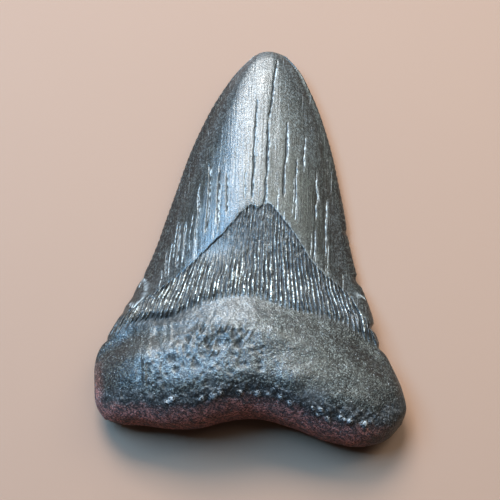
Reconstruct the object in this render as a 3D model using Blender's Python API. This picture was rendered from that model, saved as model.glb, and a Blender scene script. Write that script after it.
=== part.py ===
"""A fossil megalodon tooth, lying on its flat labial face with the domed lingual face up.

Run it with  blender --background --python part.py  or from Blender's text editor.
Units are metres. X runs across the tooth, +Y from the root to the tip and +Z up, out of the lingual
face. The origin is under the middle of the tooth, on the surface that it lies on.

The tooth is one natural piece, so it is one object. Each face is a grid laid over the outline: "across"
runs from -1 at the left cutting edge to 1 at the right one, and "down" from 0 at the tip to 1 at the
foot of the root. Places on a face are shares of the tooth's width (from its middle) and of its length
(from its tip).
"""

import bmesh
import bpy
import numpy as np

MM = 0.001

# Driving dimensions: the box that the tooth fills.
LENGTH = 121.5 * MM
WIDTH = 91 * MM
THICKNESS = 25 * MM

# The grid that each face is formed on, and the triangles that are kept where the form needs them.
COLUMNS = 170
ROWS = 480
TRIANGLES = 9800

# The outline. Each side is (share of the length, share of the width).
LEFT_SIDE = [
    (0.010, 0.012), (0.043, -0.033), (0.109, -0.099), (0.223, -0.178), (0.390, -0.259), (0.553, -0.336),
    (0.694, -0.433), (0.745, -0.470), (0.772, -0.489), (0.850, -0.500), (0.915, -0.485), (0.934, -0.467),
]
RIGHT_SIDE = [
    (0.012, 0.123), (0.043, 0.160), (0.109, 0.207), (0.223, 0.260), (0.390, 0.307), (0.553, 0.344),
    (0.694, 0.402), (0.738, 0.412), (0.801, 0.451), (0.874, 0.491), (0.915, 0.500), (0.948, 0.484),
]
# The worn tip and the arched foot are (across, share of the length).
TIP = [(-1, 0.010), (-0.5, 0.002), (0.0, 0.0), (0.5, 0.003), (1, 0.012)]
FOOT = [
    (-1, 0.934), (-0.91, 0.945), (-0.73, 0.950), (-0.53, 0.959), (-0.33, 0.955), (-0.22, 0.944),
    (0.04, 0.935), (0.27, 0.957), (0.50, 0.988), (0.74, 1.0), (0.92, 0.978), (1, 0.948),
]

# Heights above the floor, down the tooth: of its outline, and of the middle of its lingual face.
OUTLINE_HEIGHT = [
    (0, 4.6 * MM), (0.1, 4.0 * MM), (0.3, 3.4 * MM), (0.6, 3.4 * MM), (0.75, 5.5 * MM), (0.87, 7.0 * MM),
    (1, 5.5 * MM),
]
MIDDLE_HEIGHT = [
    (0, 6.2 * MM), (0.06, 8.0 * MM), (0.15, 10.2 * MM), (0.3, 13.2 * MM), (0.45, 15.8 * MM),
    (0.6, 17.4 * MM), (0.7, 18.7 * MM), (0.82, 19.2 * MM), (0.92, 19.0 * MM), (1, 18.0 * MM),
]
CROWN_DOME = (2.4, 0.86)  # powers of the cross-section: a lens with thin cutting edges
ROOT_DOME = (2.7, 0.54)  # a thick section with round sides
ROOT_FROM, ROOT_TO = 0.60, 0.80  # where one section has turned into the other
FLANKS = [(-1, 0.62, 3.4 * MM), (1, 0.12, 1.6 * MM)]  # side, where it starts, fall for one unit of across
TIP_ROUNDING = 0.03
SHOULDER = 0.88  # the root's face starts to turn down into its foot
SHOULDER_POWER = 2.4
LABIAL_CROWN_DOME = (2.0, 1.0)  # gently convex
LABIAL_ROOT_DOME = (12.0, 0.5)  # flat, with round sides
WORN_FLAT = 0.35 * MM  # taken off the labial face where it rests
DETAIL_FROM_EDGE = 0.35  # share of the section over which the relief fades out at the edges

# The lower edge of the enamel on the lingual face, a chevron, and the upper edge of the root. Between
# them is the bourlette, a wrinkled band. All are (share of the width, share of the length).
ENAMEL_LINE = [
    (-0.45, 0.708), (-0.376, 0.669), (-0.290, 0.629), (-0.225, 0.596), (-0.160, 0.551), (-0.058, 0.474),
    (-0.010, 0.434), (0.004, 0.427), (0.026, 0.438), (0.052, 0.422), (0.084, 0.442), (0.135, 0.489),
    (0.204, 0.567), (0.275, 0.612), (0.332, 0.646), (0.365, 0.687), (0.398, 0.725),
]
ROOT_LINE = [
    (-0.467, 0.740), (-0.353, 0.705), (-0.261, 0.704), (-0.206, 0.689), (-0.155, 0.671), (-0.063, 0.646),
    (0.007, 0.650), (0.109, 0.674), (0.227, 0.696), (0.279, 0.703), (0.335, 0.723), (0.425, 0.766),
]
LABIAL_ENAMEL_LINE = [(-0.47, 0.735), (-0.25, 0.728), (0.0, 0.690), (0.22, 0.722), (0.42, 0.750)]
ENAMEL_STEP = 0.55 * MM
ENAMEL_EDGE = 0.005  # half the length of the step
ROOT_SWELL = 2.8 * MM
ROOT_SWELL_REACH = 0.10  # the root rises over this share of the length
ROOT_CREASE = 1.1 * MM
CREASE_REACH = 0.012
CREASES = [(-0.27, 0.11, 1.0), (0.30, 0.12, 0.45)]  # where it is deep: place, reach, share of the depth
ROOT_FADE = (-0.012, 0.016)  # the bony surface begins over this stretch beside the root line

# The outer sides of the root's lobes: side, where it starts, how that moves out for one unit of length,
# the reach and the fall.
LOBE_SIDES = [(-1, 0.26, 0.75, 0.16, 2.8 * MM), (1, 0.12, 0.0, 0.32, 2.0 * MM)]
LOBES_FROM = 0.71
LOBE_SIDES_FADE = 0.05  # share of the length over which they begin below the root line

# Raised and sunken places: share of the width, share of the length, the two radii, and the height.
LINGUAL_FORMS = [
    (-0.05, 0.820, 0.16, 0.18, 1.6 * MM),  # the root's boss
    (0.20, 0.850, 0.13, 0.06, 0.8 * MM),  # the right lobe's bulge
    (0.015, 0.905, 0.05, 0.04, -0.8 * MM),  # the dip between the lobes
    (-0.36, 0.745, 0.10, 0.035, -1.3 * MM),  # the hollow above the left lobe
    (0.33, 0.770, 0.09, 0.05, -0.8 * MM),  # the hollow above the right lobe
    (-0.10, 0.775, 0.05, 0.018, -0.5 * MM),  # the pitted patch on the left bulge
    (-0.05, 0.20, 0.05, 0.22, 0.35 * MM),  # the crown's blunt keel
    (0.075, 0.25, 0.02, 0.20, -0.22 * MM),  # the shallow trough beside it
]
LABIAL_FORMS = [
    (0.0, 0.83, 0.16, 0.11, 2.0 * MM),  # the hollow between the lobes
    (0.01, 0.64, 0.30, 0.13, 1.0 * MM),  # the hollow at the foot of the crown
    (0.05, 0.0, 0.40, 0.24, 1.5 * MM),  # the tip curves up
    (-0.30, 0.870, 0.12, 0.060, -1.0 * MM),  # the lobes that the root lies on
    (0.30, 0.890, 0.12, 0.065, -0.8 * MM),
    (-0.10, 0.33, 0.05, 0.22, 0.25 * MM),  # shallow flutes beside the middle of the crown
    (0.17, 0.33, 0.05, 0.22, 0.25 * MM),
]

# Cracks in the enamel run with the crown: two ends as shares of the width and length, then the half
# width and the depth.
LINGUAL_CRACKS = [
    (0.023, 0.13, 0.005, 0.42, 0.55 * MM, 0.55 * MM),
    (0.094, 0.02, 0.062, 0.20, 0.50 * MM, 0.55 * MM),
    (0.062, 0.19, 0.049, 0.44, 0.60 * MM, 0.60 * MM),
    (0.127, 0.19, 0.105, 0.41, 0.65 * MM, 0.50 * MM),
    (0.183, 0.23, 0.172, 0.34, 0.40 * MM, 0.30 * MM),
    (0.153, 0.29, 0.145, 0.43, 0.40 * MM, 0.30 * MM),
    (0.218, 0.32, 0.215, 0.46, 0.45 * MM, 0.35 * MM),
    (0.250, 0.39, 0.243, 0.55, 0.50 * MM, 0.40 * MM),
    (0.210, 0.47, 0.204, 0.56, 0.40 * MM, 0.30 * MM),
    (-0.075, 0.33, -0.075, 0.45, 0.45 * MM, 0.30 * MM),
    (-0.099, 0.31, -0.107, 0.48, 0.50 * MM, 0.40 * MM),
    (-0.131, 0.30, -0.142, 0.50, 0.60 * MM, 0.45 * MM),
    (-0.167, 0.37, -0.175, 0.52, 0.45 * MM, 0.35 * MM),
    (-0.210, 0.45, -0.214, 0.56, 0.40 * MM, 0.30 * MM),
    (-0.226, 0.45, -0.238, 0.58, 0.45 * MM, 0.35 * MM),
    (-0.272, 0.52, -0.275, 0.60, 0.40 * MM, 0.30 * MM),
]
LABIAL_CRACKS = [
    (0.055, 0.03, 0.030, 0.62, 0.50 * MM, 0.50 * MM),
    (-0.030, 0.16, -0.075, 0.66, 0.45 * MM, 0.45 * MM),
    (0.120, 0.20, 0.140, 0.60, 0.45 * MM, 0.40 * MM),
    (-0.110, 0.30, -0.190, 0.68, 0.45 * MM, 0.40 * MM),
    (0.205, 0.34, 0.260, 0.68, 0.40 * MM, 0.35 * MM),
    (-0.215, 0.48, -0.300, 0.69, 0.40 * MM, 0.35 * MM),
    (0.085, 0.48, 0.095, 0.68, 0.40 * MM, 0.30 * MM),
]
CRACK_WANDER = 0.25 * MM

# The bourlette's wrinkles fan out with the crown's sides.
WRINKLES = 34
WRINKLE_HEIGHT = 0.42 * MM
WRINKLE_WANDER = 1.6  # radians, over patches of this size
WRINKLE_PATCH = 5.0 * MM
WRINKLE_UNEVENNESS = 0.45

# Worn serrations on the cutting edges, and the chips in them: side, share of the length, reach, depth.
SERRATION_PITCH = 2.0 * MM
SERRATION_DEPTH = 0.15 * MM
SERRATIONS_FROM, SERRATIONS_TO = 0.05, 0.70
SERRATIONS_FADE = 0.04
EDGE_BAND = 0.93  # the wear reaches in to this share of the half width
CHIPS = [
    (-1, 0.585, 0.010, 0.4 * MM), (-1, 0.635, 0.016, 0.4 * MM), (-1, 0.675, 0.008, 0.4 * MM),
    (1, 0.470, 0.010, 0.5 * MM), (1, 0.592, 0.012, 1.0 * MM), (1, 0.715, 0.010, 1.1 * MM),
    (1, 0.765, 0.010, 0.9 * MM), (-1, 0.745, 0.008, 0.6 * MM),
]

# The root's bony surface: lumps of two sizes, and pits where small vessels went in.
LUMPS = [(7.0 * MM, 0.30 * MM, 11), (3.2 * MM, 0.14 * MM, 12)]
PIT_COUNT = 22
PIT_PLACES = ((-0.32, 0.04), (0.735, 0.92))
PIT_RADIUS = (0.8 * MM, 1.5 * MM)
PIT_DEPTH = (0.25 * MM, 0.6 * MM)

TOOTH_COLOUR = (0.045, 0.052, 0.052, 1.0)
TOOTH_ROUGHNESS = 0.42


def smooth_curve(stations, at):
    """The smooth curve through (place, value) stations, read at the places given."""
    places, values = np.array(stations, float).T
    slopes = np.gradient(values, places)
    left = np.clip(np.searchsorted(places, at) - 1, 0, len(places) - 2)
    step = places[left + 1] - places[left]
    u = np.clip((at - places[left]) / step, 0, 1)
    return (
        values[left] * (1 + 2 * u) * (1 - u) ** 2
        + values[left + 1] * u**2 * (3 - 2 * u)
        + step * slopes[left] * u * (1 - u) ** 2
        - step * slopes[left + 1] * u**2 * (1 - u)
    )


def ramp(low, high, at):
    """Rises smoothly from 0 at low to 1 at high."""
    u = np.clip((at - low) / (high - low), 0, 1)
    return u * u * (3 - 2 * u)


def noise(x, y, size, seed):
    """A smooth random height from -1 to 1 over a plane, in patches of that size."""
    lattice = np.random.default_rng(seed).uniform(-1, 1, (64, 64))
    u, v = x / size, y / size
    i, j = np.floor(u).astype(int), np.floor(v).astype(int)
    u, v = ramp(0, 1, u - i), ramp(0, 1, v - j)
    i, j = i % 64, j % 64
    i_next, j_next = (i + 1) % 64, (j + 1) % 64
    low = lattice[i, j] * (1 - u) + lattice[i_next, j] * u
    high = lattice[i, j_next] * (1 - u) + lattice[i_next, j_next] * u
    return low * (1 - v) + high * v


def dome(across, powers):
    """A cross-section from 0 at the cutting edges to 1 in the middle."""
    spread, fullness = powers
    return np.clip(1 - np.abs(across) ** spread, 0, 1) ** fullness


def end_rounding(down):
    """From 0 at the very tip and at the foot to 1 between them, as the faces close over both ends."""
    tip = np.clip(1 - down / TIP_ROUNDING, 0, 1)
    foot = np.clip((down - SHOULDER) / (1 - SHOULDER), 0, 1)
    return np.sqrt(np.clip(1 - tip**2, 0, 1) * np.clip(1 - foot**SHOULDER_POWER, 0, 1))


def outline_point(across, down):
    """The place of a grid point on the plan, as shares of the width and of the length."""
    tip, foot = smooth_curve(TIP, across), smooth_curve(FOOT, across)
    left = smooth_curve(LEFT_SIDE, TIP[0][1] + (FOOT[0][1] - TIP[0][1]) * down)
    right = smooth_curve(RIGHT_SIDE, TIP[-1][1] + (FOOT[-1][1] - TIP[-1][1]) * down)
    return (left + right) / 2 + (right - left) / 2 * across, tip + (foot - tip) * down


def flank_fall(across):
    """How far the crown's sides fall away from its middle in flat planes."""
    return sum(fall * np.clip(side * across - start, 0, None) for side, start, fall in FLANKS)


def lobe_sides(x, along, below_root_line):
    """How far the root falls away in the outer sides of its lobes."""
    fallen = np.zeros_like(x)
    for side, start, spread, reach, fall in LOBE_SIDES:
        fallen += fall * ramp(0, reach, side * x - start - spread * (along - LOBES_FROM))
    return fallen * ramp(0, LOBE_SIDES_FADE, below_root_line)


def crease_depth(x, below_root_line):
    """The crease above the root, deepest over the left lobe."""
    depth = ROOT_CREASE * np.exp(-((below_root_line / CREASE_REACH) ** 2))
    return depth * sum(share * np.exp(-(((x - place) / reach) ** 2)) for place, reach, share in CREASES)


def edge_wear(across, down, along):
    """How far the cutting edges are worn in: serrations and chips."""
    blade = ramp(SERRATIONS_FROM, SERRATIONS_FROM + SERRATIONS_FADE, along)
    blade = blade * ramp(SERRATIONS_TO, SERRATIONS_TO - SERRATIONS_FADE, along)
    scallop = 0.5 - 0.5 * np.cos(2 * np.pi * along * LENGTH / SERRATION_PITCH)
    unevenness = 0.7 + 0.5 * noise(along * LENGTH, across, 5 * MM, seed=21)
    wear = SERRATION_DEPTH * blade * scallop * unevenness
    for side, place, reach, depth in CHIPS:
        on_side = np.sign(across) == side
        wear = wear + on_side * depth * np.exp(-(((along - place) / reach) ** 2))
    return wear * ramp(EDGE_BAND, 1, np.abs(across))


def forms(places, x, along):
    """The sum of soft mounds and hollows at a point of a face."""
    height = np.zeros_like(x)
    for x0, along0, x_radius, along_radius, rise in places:
        height += rise * np.exp(-(((x - x0) / x_radius) ** 2) - ((along - along0) / along_radius) ** 2)
    return height


def crack_depth(cracks, x, along):
    """The grooves of the enamel's cracks, tapering out at both ends."""
    depth = np.zeros_like(x)
    for x0, along0, x1, along1, half_width, groove in cracks:
        share = (along - along0) / (along1 - along0)
        wander = CRACK_WANDER * noise(along * LENGTH, np.full_like(x, x0 * WIDTH), 4 * MM, seed=31)
        aside = (x - (x0 + (x1 - x0) * share)) * WIDTH + wander
        taper = ramp(0, 0.2, share) * ramp(1, 0.9, share)
        depth = np.maximum(depth, groove * taper * np.exp(-((aside / half_width) ** 2)))
    return depth


def root_pits(x, along, seed):
    """The root's vessel pits, scattered with a fixed seed."""
    scatter = np.random.default_rng(seed)
    depth = np.zeros_like(x)
    for _ in range(PIT_COUNT):
        x0, along0 = (scatter.uniform(*reach) for reach in PIT_PLACES)
        radius, sunk = scatter.uniform(*PIT_RADIUS), scatter.uniform(*PIT_DEPTH)
        distance = np.hypot((x - x0) * WIDTH, (along - along0) * LENGTH)
        depth = np.maximum(depth, sunk * np.exp(-((distance / radius) ** 2)))
    return depth


def lumps(x, along):
    """The root's uneven surface."""
    return sum(height * noise(x * WIDTH, along * LENGTH, size, seed) for size, height, seed in LUMPS)


def lingual_height(across, down, x, along):
    """The height of the domed face above the outline."""
    to_root = ramp(ROOT_FROM, ROOT_TO, down)
    section = dome(across, CROWN_DOME) * (1 - to_root) + dome(across, ROOT_DOME) * to_root
    body = smooth_curve(MIDDLE_HEIGHT, down) - smooth_curve(OUTLINE_HEIGHT, down)

    below_enamel = along - smooth_curve(ENAMEL_LINE, x)
    below_root_line = along - smooth_curve(ROOT_LINE, x)
    enamel = ramp(ENAMEL_EDGE, -ENAMEL_EDGE, below_enamel)
    root = ramp(*ROOT_FADE, below_root_line)
    bourlette = (1 - enamel) * (1 - root)

    swell = ROOT_SWELL * ramp(0, ROOT_SWELL_REACH, below_root_line)
    crease = crease_depth(x, below_root_line)
    at = x * WIDTH, along * LENGTH
    phase = WRINKLES * np.pi * across + WRINKLE_WANDER * noise(*at, WRINKLE_PATCH, seed=41)
    evenness = 1 + WRINKLE_UNEVENNESS * noise(*at, WRINKLE_PATCH, seed=42)
    wrinkles = WRINKLE_HEIGHT * bourlette * evenness * np.cos(phase)
    bone = root * (lumps(x, along) - root_pits(x, along, seed=51) - lobe_sides(x, along, below_root_line))
    relief = swell - crease + enamel * (ENAMEL_STEP - crack_depth(LINGUAL_CRACKS, x, along))
    relief = relief + wrinkles + bone + forms(LINGUAL_FORMS, x, along) - (1 - to_root) * flank_fall(across)
    inside = section * end_rounding(down)
    return body * inside + relief * ramp(0, DETAIL_FROM_EDGE, inside)


def labial_height(across, down, x, along):
    """The height of the flat face above the floor, where its middle and the lobes rest."""
    to_root = ramp(ROOT_FROM, ROOT_TO, down)
    section = dome(across, LABIAL_CROWN_DOME) * (1 - to_root) + dome(across, LABIAL_ROOT_DOME) * to_root
    inside = section * end_rounding(down)
    root = ramp(-ENAMEL_EDGE, ENAMEL_EDGE, along - smooth_curve(LABIAL_ENAMEL_LINE, x))
    bone = root_pits(x, along, seed=52) + lumps(x, along) / 2
    enamel = crack_depth(LABIAL_CRACKS, x, along) - ENAMEL_STEP
    relief = ENAMEL_STEP + root * bone + (1 - root) * enamel + forms(LABIAL_FORMS, x, along) - WORN_FLAT
    height = smooth_curve(OUTLINE_HEIGHT, down) * (1 - inside) + relief * ramp(0, DETAIL_FROM_EDGE, inside)
    return np.maximum(height, 0)


def face_points(grid, lingual):
    """The points of one face of the tooth for grid points from -1 to 1 on X and Y."""
    spread = grid[:, 0]
    across = 1.5 * spread - 0.5 * spread**3  # closer together at the cutting edges
    down = ramp(0, 1, (1 - grid[:, 1]) / 2)  # and at the tip and the foot
    x, along = outline_point(across, down)
    if lingual:
        height = smooth_curve(OUTLINE_HEIGHT, down) + lingual_height(across, down, x, along)
    else:
        height = labial_height(across, down, x, along)
    sideways = x * WIDTH - np.sign(across) * edge_wear(across, down, along)
    return np.column_stack([sideways, (0.5 - along) * LENGTH, height])


def face_mesh(lingual):
    """One face of the tooth, from a grid primitive."""
    bm = bmesh.new()
    bmesh.ops.create_grid(bm, x_segments=COLUMNS, y_segments=ROWS, size=1)
    if not lingual:
        bmesh.ops.reverse_faces(bm, faces=bm.faces)
    mesh = bpy.data.meshes.new("face")
    bm.to_mesh(mesh)
    bm.free()
    grid = np.empty(len(mesh.vertices) * 3, np.float32)
    mesh.vertices.foreach_get("co", grid)
    points = face_points(grid.reshape(-1, 3).astype(float), lingual)
    mesh.vertices.foreach_set("co", points.astype(np.float32).ravel())
    mesh.update()
    return mesh


def fit_to_box(mesh):
    """Scales the mesh to the driving dimensions and centres it over the origin."""
    points = np.empty(len(mesh.vertices) * 3, np.float32)
    mesh.vertices.foreach_get("co", points)
    points = points.reshape(-1, 3).astype(float)
    low, high = points.min(0), points.max(0)
    points = (points - low) / (high - low) * (WIDTH, LENGTH, THICKNESS) - (WIDTH / 2, LENGTH / 2, 0)
    mesh.vertices.foreach_set("co", points.astype(np.float32).ravel())
    mesh.update()


def fossil_material():
    """Dark mineral, semi-gloss."""
    material = bpy.data.materials.new("fossil")
    material.use_nodes = True
    shader = material.node_tree.nodes["Principled BSDF"]
    shader.inputs["Base Color"].default_value = TOOTH_COLOUR
    shader.inputs["Roughness"].default_value = TOOTH_ROUGHNESS
    shader.inputs["Metallic"].default_value = 0.0
    return material


def build_tooth():
    """The two faces welded along the outline, with fewer triangles where the form is smooth."""
    bm = bmesh.new()
    for lingual in (True, False):
        face = face_mesh(lingual)
        bm.from_mesh(face)
        bpy.data.meshes.remove(face)
    bmesh.ops.remove_doubles(bm, verts=[v for v in bm.verts if v.is_boundary], dist=0.01 * MM)
    mesh = bpy.data.meshes.new("tooth")
    bm.to_mesh(mesh)
    faces = sum(len(f.verts) - 2 for f in bm.faces)
    bm.free()
    fit_to_box(mesh)
    mesh.shade_smooth()
    mesh.materials.append(fossil_material())
    tooth = bpy.data.objects.new("tooth", mesh)
    thin = tooth.modifiers.new("fewer triangles", "DECIMATE")
    thin.ratio = TRIANGLES / faces
    return tooth


def main():
    for old in list(bpy.data.objects):
        bpy.data.objects.remove(old)
    collection = bpy.data.collections.new("megalodon tooth")
    bpy.context.scene.collection.children.link(collection)
    collection.objects.link(build_tooth())


main()
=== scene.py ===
"""The megalodon tooth on a pale studio floor: a fine mesh of the CAD solid's form, with a fossil material.

Each face of the tooth is a grid laid over its outline: "across" runs from -1 at the left cutting edge to 1
at the right one, and "down" from 0 at the tip to 1 at the foot of the root. Places on a face are shares
of the tooth's width (from its middle) and of its length (from its tip). All sizes are in metres.
"""
import math
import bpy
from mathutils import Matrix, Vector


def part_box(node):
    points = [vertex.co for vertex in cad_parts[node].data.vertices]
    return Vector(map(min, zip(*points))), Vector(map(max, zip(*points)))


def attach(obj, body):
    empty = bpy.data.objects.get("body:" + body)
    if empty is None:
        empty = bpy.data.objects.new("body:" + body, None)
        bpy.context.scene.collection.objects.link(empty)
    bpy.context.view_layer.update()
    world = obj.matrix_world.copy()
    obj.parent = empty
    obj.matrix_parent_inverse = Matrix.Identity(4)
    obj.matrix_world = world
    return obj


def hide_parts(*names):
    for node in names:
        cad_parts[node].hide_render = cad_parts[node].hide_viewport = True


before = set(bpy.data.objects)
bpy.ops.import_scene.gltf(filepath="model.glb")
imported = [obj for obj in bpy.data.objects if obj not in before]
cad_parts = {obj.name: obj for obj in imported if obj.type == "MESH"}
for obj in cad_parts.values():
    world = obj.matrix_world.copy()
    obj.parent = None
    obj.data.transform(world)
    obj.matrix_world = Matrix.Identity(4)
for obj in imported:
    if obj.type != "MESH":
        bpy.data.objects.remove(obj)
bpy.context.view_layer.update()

from types import SimpleNamespace

import bpy
import numpy as np
from mathutils import Matrix, Vector

LOW, HIGH = (np.array(corner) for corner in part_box("tooth"))
WIDTH, LENGTH = (HIGH - LOW)[:2]
MM = 0.001

COLUMNS, ROWS = ((460, 680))
TRIANGLES = 190_000
FACES_APART = 0.1  # so that the two faces' fanning patterns differ

# What each point of the mesh tells the material, from 0 to 1. Some marks are painted light: painted shade
# on the rims, in sunk places, in the band's valleys and along the shoulder, and a painted highlight on
# crests, crack rims and the root's ledge.
MARKS = (
    "enamel", "root", "crest", "valley", "crack", "scar",
    "sunk", "stain", "shoulder", "worn", "chalk", "rim",
)

# The form of the CAD solid. Its sides are points (share of the length, share of the width).
LEFT_SIDE = [
    (0.010, 0.012), (0.043, -0.033), (0.109, -0.099), (0.223, -0.178), (0.390, -0.259), (0.553, -0.336),
    (0.694, -0.433), (0.745, -0.470), (0.772, -0.489), (0.850, -0.500), (0.915, -0.485), (0.934, -0.467),
]
RIGHT_SIDE = [
    (0.012, 0.123), (0.043, 0.160), (0.109, 0.207), (0.223, 0.260), (0.390, 0.307), (0.553, 0.344),
    (0.694, 0.402), (0.738, 0.412), (0.801, 0.451), (0.874, 0.491), (0.915, 0.500), (0.948, 0.484),
]
# The ends of the outline, as points (across, share of the length).
TIP = [(-1, 0.010), (-0.5, 0.002), (0.0, 0.0), (0.5, 0.003), (1, 0.012)]
FOOT = [
    (-1, 0.934), (-0.91, 0.945), (-0.73, 0.950), (-0.53, 0.959), (-0.33, 0.955), (-0.22, 0.944),
    (0.04, 0.935), (0.27, 0.957), (0.50, 0.988), (0.74, 1.0), (0.92, 0.978), (1, 0.948),
]
OUTLINE_HEIGHT = [
    (0, 4.6 * MM), (0.1, 4.0 * MM), (0.3, 3.4 * MM), (0.6, 3.4 * MM), (0.75, 5.5 * MM), (0.87, 7.0 * MM),
    (1, 5.5 * MM),
]
MIDDLE_HEIGHT = [
    (0, 6.2 * MM), (0.06, 8.0 * MM), (0.15, 10.2 * MM), (0.3, 13.2 * MM), (0.45, 15.8 * MM),
    (0.6, 17.4 * MM), (0.7, 18.7 * MM), (0.82, 19.2 * MM), (0.92, 19.0 * MM), (1, 18.0 * MM),
]
CROWN_DOME, ROOT_DOME = (2.4, 0.86), (2.7, 0.54)
LABIAL_CROWN_DOME, LABIAL_ROOT_DOME = (2.0, 1.0), (12.0, 0.5)
ROOT_FROM, ROOT_TO = 0.60, 0.80
TIP_ROUNDING = 0.03
SHOULDER, SHOULDER_POWER = 0.88, 2.4
WORN_FLAT = 0.35 * MM
DETAIL_FROM_EDGE = 0.35

ENAMEL_LINE = [
    (-0.45, 0.708), (-0.376, 0.669), (-0.290, 0.629), (-0.225, 0.596), (-0.160, 0.551), (-0.058, 0.474),
    (-0.010, 0.434), (0.004, 0.427), (0.026, 0.438), (0.052, 0.422), (0.084, 0.442), (0.135, 0.489),
    (0.204, 0.567), (0.275, 0.612), (0.332, 0.646), (0.365, 0.687), (0.398, 0.725),
]
ROOT_LINE = [
    (-0.467, 0.740), (-0.353, 0.705), (-0.261, 0.704), (-0.206, 0.689), (-0.155, 0.671), (-0.063, 0.646),
    (0.007, 0.650), (0.109, 0.674), (0.227, 0.696), (0.279, 0.703), (0.335, 0.723), (0.425, 0.766),
]
LABIAL_ENAMEL_LINE = [(-0.47, 0.735), (-0.25, 0.728), (0.0, 0.690), (0.22, 0.722), (0.42, 0.750)]
ENAMEL_STEP, ENAMEL_EDGE = 0.55 * MM, 0.004
ROOT_SWELL, ROOT_SWELL_REACH = 2.8 * MM, 0.10
ROOT_CREASE, CREASE_REACH = 1.1 * MM, 0.012
CREASES = [(-0.27, 0.11, 1.0), (0.30, 0.12, 0.45)]
ROOT_FADE = (-0.012, 0.016)

# Falls towards one side (-1 is the left): the crown's flanks as (side, start, fall over a half-width), and
# the root's outer sides as (side, start, how fast the start moves out towards the foot, reach, fall).
FLANKS = [(-1, 0.62, 3.4 * MM), (1, 0.12, 1.6 * MM)]
LOBE_SIDES = [(-1, 0.26, 0.75, 0.16, 2.8 * MM), (1, 0.12, 0.0, 0.32, 2.0 * MM)]
LOBES_FROM, LOBE_SIDES_FADE = 0.71, 0.05

# Soft mounds and hollows: the middle (x, along), the two radii and the rise.
LINGUAL_FORMS = [
    (-0.05, 0.820, 0.16, 0.18, 1.6 * MM), (0.20, 0.850, 0.13, 0.06, 0.8 * MM),
    (0.015, 0.905, 0.05, 0.04, -0.8 * MM), (-0.36, 0.745, 0.10, 0.035, -1.3 * MM),
    (0.33, 0.770, 0.09, 0.05, -0.8 * MM), (-0.10, 0.775, 0.05, 0.018, -0.5 * MM),
    (-0.05, 0.20, 0.05, 0.22, 0.35 * MM), (0.075, 0.25, 0.02, 0.20, -0.22 * MM),
]
LABIAL_FORMS = [
    (0.0, 0.83, 0.16, 0.11, 2.0 * MM), (0.01, 0.64, 0.30, 0.13, 1.0 * MM),
    (0.05, 0.0, 0.40, 0.24, 1.5 * MM), (-0.30, 0.870, 0.12, 0.060, -1.0 * MM),
    (0.30, 0.890, 0.12, 0.065, -0.8 * MM), (-0.10, 0.33, 0.05, 0.22, 0.25 * MM),
    (0.17, 0.33, 0.05, 0.22, 0.25 * MM),
]

# Cracks in the enamel: both ends (x, along), the reach to each side and the depth.
LINGUAL_CRACKS = [
    (0.023, 0.13, 0.005, 0.42, 0.55 * MM, 0.55 * MM), (0.094, 0.02, 0.062, 0.20, 0.50 * MM, 0.55 * MM),
    (0.062, 0.19, 0.049, 0.44, 0.60 * MM, 0.60 * MM), (0.127, 0.19, 0.105, 0.41, 0.65 * MM, 0.50 * MM),
    (0.183, 0.23, 0.172, 0.34, 0.40 * MM, 0.30 * MM), (0.153, 0.29, 0.145, 0.43, 0.40 * MM, 0.30 * MM),
    (0.218, 0.32, 0.215, 0.46, 0.45 * MM, 0.35 * MM), (0.250, 0.39, 0.243, 0.55, 0.50 * MM, 0.40 * MM),
    (0.210, 0.47, 0.204, 0.56, 0.40 * MM, 0.30 * MM), (-0.075, 0.33, -0.075, 0.45, 0.45 * MM, 0.30 * MM),
    (-0.099, 0.31, -0.107, 0.48, 0.50 * MM, 0.40 * MM), (-0.131, 0.30, -0.142, 0.50, 0.60 * MM, 0.45 * MM),
    (-0.167, 0.37, -0.175, 0.52, 0.45 * MM, 0.35 * MM), (-0.210, 0.45, -0.214, 0.56, 0.40 * MM, 0.30 * MM),
    (-0.226, 0.45, -0.238, 0.58, 0.45 * MM, 0.35 * MM), (-0.272, 0.52, -0.275, 0.60, 0.40 * MM, 0.30 * MM),
]
LABIAL_CRACKS = [
    (0.055, 0.03, 0.030, 0.62, 0.50 * MM, 0.50 * MM), (-0.030, 0.16, -0.075, 0.66, 0.45 * MM, 0.45 * MM),
    (0.120, 0.20, 0.140, 0.60, 0.45 * MM, 0.40 * MM), (-0.110, 0.30, -0.190, 0.68, 0.45 * MM, 0.40 * MM),
    (0.205, 0.34, 0.260, 0.68, 0.40 * MM, 0.35 * MM), (-0.215, 0.48, -0.300, 0.69, 0.40 * MM, 0.35 * MM),
    (0.085, 0.48, 0.095, 0.68, 0.40 * MM, 0.30 * MM),
]
CRACK_WANDER, CRACK_JITTER = 0.25 * MM, 0.125 * MM
CRACK_NARROWING = 0.4  # finer than the solid can hold
HAIRLINES = 26
HAIRLINES_ACROSS, HAIRLINE_STARTS, HAIRLINE_LENGTHS = (-0.36, 0.32), (0.20, 0.34), (0.05, 0.14)
LEAN = -0.045  # radians that the enamel's lines lean
# Curved cracks and bruises beside the cutting edges, as points (share of the width, share of the length).
EDGE_CRACKS = [
    [(-0.352, 0.588), (-0.337, 0.609), (-0.340, 0.633), (-0.348, 0.648), (-0.377, 0.669)],
    [(-0.392, 0.655), (-0.381, 0.668)],
    [(0.345, 0.634), (0.363, 0.633), (0.376, 0.641)],
]
EDGE_CRACK_REACH = 0.18 * MM
# The dark of a crack's core is painted shade.
DARK_CORE = (0.45, 0.85)  # how far into a crack its colour turns dark

# Lines along the enamel's edge: how far off it, and half their width, as shares of the length.
LIP_LINE, SHADOW_LINE = (-0.003, 0.0016), (0.004, 0.003)
LIP_FROM, LIP_TO = (0.02, 0.07), (0.32, 0.20)
# How far from the cutting edges the painted shade on their rims fades and is whole.
LEFT_RIM_SHADE, RIGHT_RIM_SHADE = (4.0 * MM, 2.8 * MM), (3.0 * MM, 1.2 * MM)

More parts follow.
